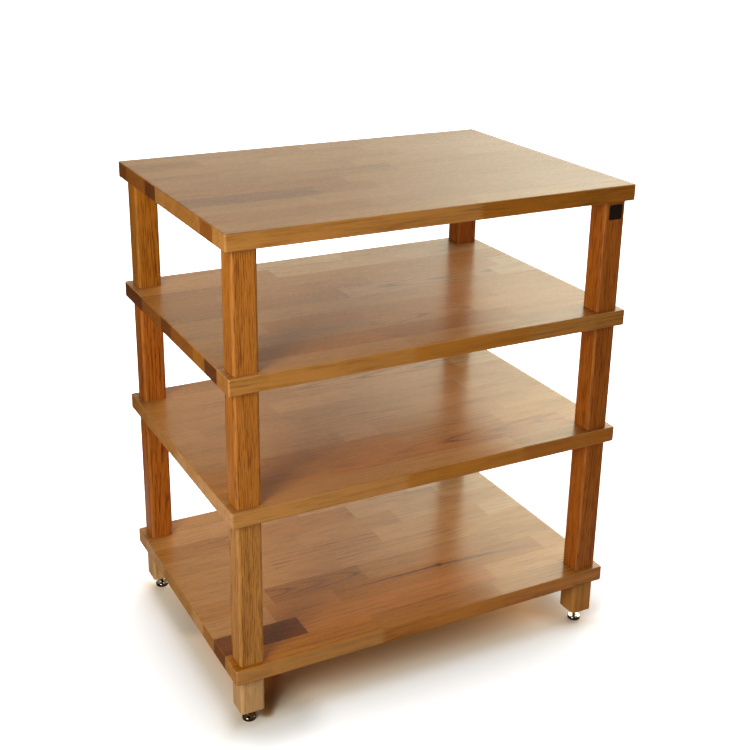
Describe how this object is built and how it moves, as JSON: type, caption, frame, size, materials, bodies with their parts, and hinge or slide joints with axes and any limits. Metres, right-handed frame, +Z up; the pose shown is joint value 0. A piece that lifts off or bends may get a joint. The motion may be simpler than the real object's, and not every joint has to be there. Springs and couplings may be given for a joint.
{
  "type": "audio equipment rack",
  "caption": "Open oak rack for audio components: shelf boards on square legs, open on every side, standing on levelling spikes in round metal shoes.",
  "frame": {"origin": "on the floor, midway between the four spike shoes, under the centre of the shelf boards", "axes": "+X to the right along the wide front, +Y to the back, +Z up"},
  "size_m": [0.572, 0.403, 0.6645],
  "materials": {
    "oak_board": "edge-glued solid oak staves under a smooth satin lacquer",
    "oak_leg": "straight-grained solid oak, rounded edges, satin lacquer",
    "zinc_steel": "bright zinc-plated steel",
    "polished_steel": "polished bright metal",
    "badge_plate": "glossy near-black metal plate, left bare"
  },
  "bodies": {
    "rack": {"top_shelf": "oak_board", "second_shelf": "oak_board", "third_shelf": "oak_board", "bottom_shelf": "oak_board", "upper_leg_front_left": "oak_leg", "upper_leg_front_right": "oak_leg", "upper_leg_back_left": "oak_leg", "upper_leg_back_right": "oak_leg", "middle_leg_front_left": "oak_leg", "middle_leg_front_right": "oak_leg", "middle_leg_back_left": "oak_leg", "middle_leg_back_right": "oak_leg", "lower_leg_front_left": "oak_leg", "lower_leg_front_right": "oak_leg", "lower_leg_back_left": "oak_leg", "lower_leg_back_right": "oak_leg", "foot_block_front_left": "oak_leg", "foot_block_front_right": "oak_leg", "foot_block_back_left": "oak_leg", "foot_block_back_right": "oak_leg", "top_joint_screw_front_left": "zinc_steel", "top_joint_screw_front_right": "zinc_steel", "top_joint_screw_back_left": "zinc_steel", "top_joint_screw_back_right": "zinc_steel", "second_joint_screw_front_left": "zinc_steel", "second_joint_screw_front_right": "zinc_steel", "second_joint_screw_back_left": "zinc_steel", "second_joint_screw_back_right": "zinc_steel", "third_joint_screw_front_left": "zinc_steel", "third_joint_screw_front_right": "zinc_steel", "third_joint_screw_back_left": "zinc_steel", "third_joint_screw_back_right": "zinc_steel", "bottom_joint_screw_front_left": "zinc_steel", "bottom_joint_screw_front_right": "zinc_steel", "bottom_joint_screw_back_left": "zinc_steel", "bottom_joint_screw_back_right": "zinc_steel", "spike_insert_front_left": "zinc_steel", "spike_insert_front_right": "zinc_steel", "spike_insert_back_left": "zinc_steel", "spike_insert_back_right": "zinc_steel", "lock_nut_front_left": "polished_steel", "lock_nut_front_right": "polished_steel", "lock_nut_back_left": "polished_steel", "lock_nut_back_right": "polished_steel", "badge_plate": "badge_plate"},
    "front_left_shoe": {"spike_shoe_front_left": "polished_steel"},
    "front_left_spike": {"spike_front_left": "polished_steel"},
    "front_right_shoe": {"spike_shoe_front_right": "polished_steel"},
    "front_right_spike": {"spike_front_right": "polished_steel"},
    "back_left_shoe": {"spike_shoe_back_left": "polished_steel"},
    "back_left_spike": {"spike_back_left": "polished_steel"},
    "back_right_shoe": {"spike_shoe_back_right": "polished_steel"},
    "back_right_spike": {"spike_back_right": "polished_steel"}
  },
  "joints": [
    {"name": "front_left_shoe_travel", "type": "slide", "parent": "rack", "child": "front_left_shoe", "axis": [0, 0, -1], "range_m": [0, 0.01]},
    {"name": "front_left_spike_turn", "type": "hinge", "parent": "front_left_shoe", "child": "front_left_spike", "pos_m": [-0.2605, -0.178, 0.0205], "axis": [0, 0, -1], "range_deg": [0, 2880]},
    {"name": "front_right_shoe_travel", "type": "slide", "parent": "rack", "child": "front_right_shoe", "axis": [0, 0, -1], "range_m": [0, 0.01]},
    {"name": "front_right_spike_turn", "type": "hinge", "parent": "front_right_shoe", "child": "front_right_spike", "pos_m": [0.2605, -0.178, 0.0205], "axis": [0, 0, -1], "range_deg": [0, 2880]},
    {"name": "back_left_shoe_travel", "type": "slide", "parent": "rack", "child": "back_left_shoe", "axis": [0, 0, -1], "range_m": [0, 0.01]},
    {"name": "back_left_spike_turn", "type": "hinge", "parent": "back_left_shoe", "child": "back_left_spike", "pos_m": [-0.2605, 0.178, 0.0205], "axis": [0, 0, -1], "range_deg": [0, 2880]},
    {"name": "back_right_shoe_travel", "type": "slide", "parent": "rack", "child": "back_right_shoe", "axis": [0, 0, -1], "range_m": [0, 0.01]},
    {"name": "back_right_spike_turn", "type": "hinge", "parent": "back_right_shoe", "child": "back_right_spike", "pos_m": [0.2605, 0.178, 0.0205], "axis": [0, 0, -1], "range_deg": [0, 2880]}
  ],
  "couplings": [
    {"joint": "front_left_spike_turn", "follows": "front_left_shoe_travel", "rad_per_m": 5026.5},
    {"joint": "front_right_spike_turn", "follows": "front_right_shoe_travel", "rad_per_m": 5026.5},
    {"joint": "back_left_spike_turn", "follows": "back_left_shoe_travel", "rad_per_m": 5026.5},
    {"joint": "back_right_spike_turn", "follows": "back_right_shoe_travel", "rad_per_m": 5026.5}
  ]
}
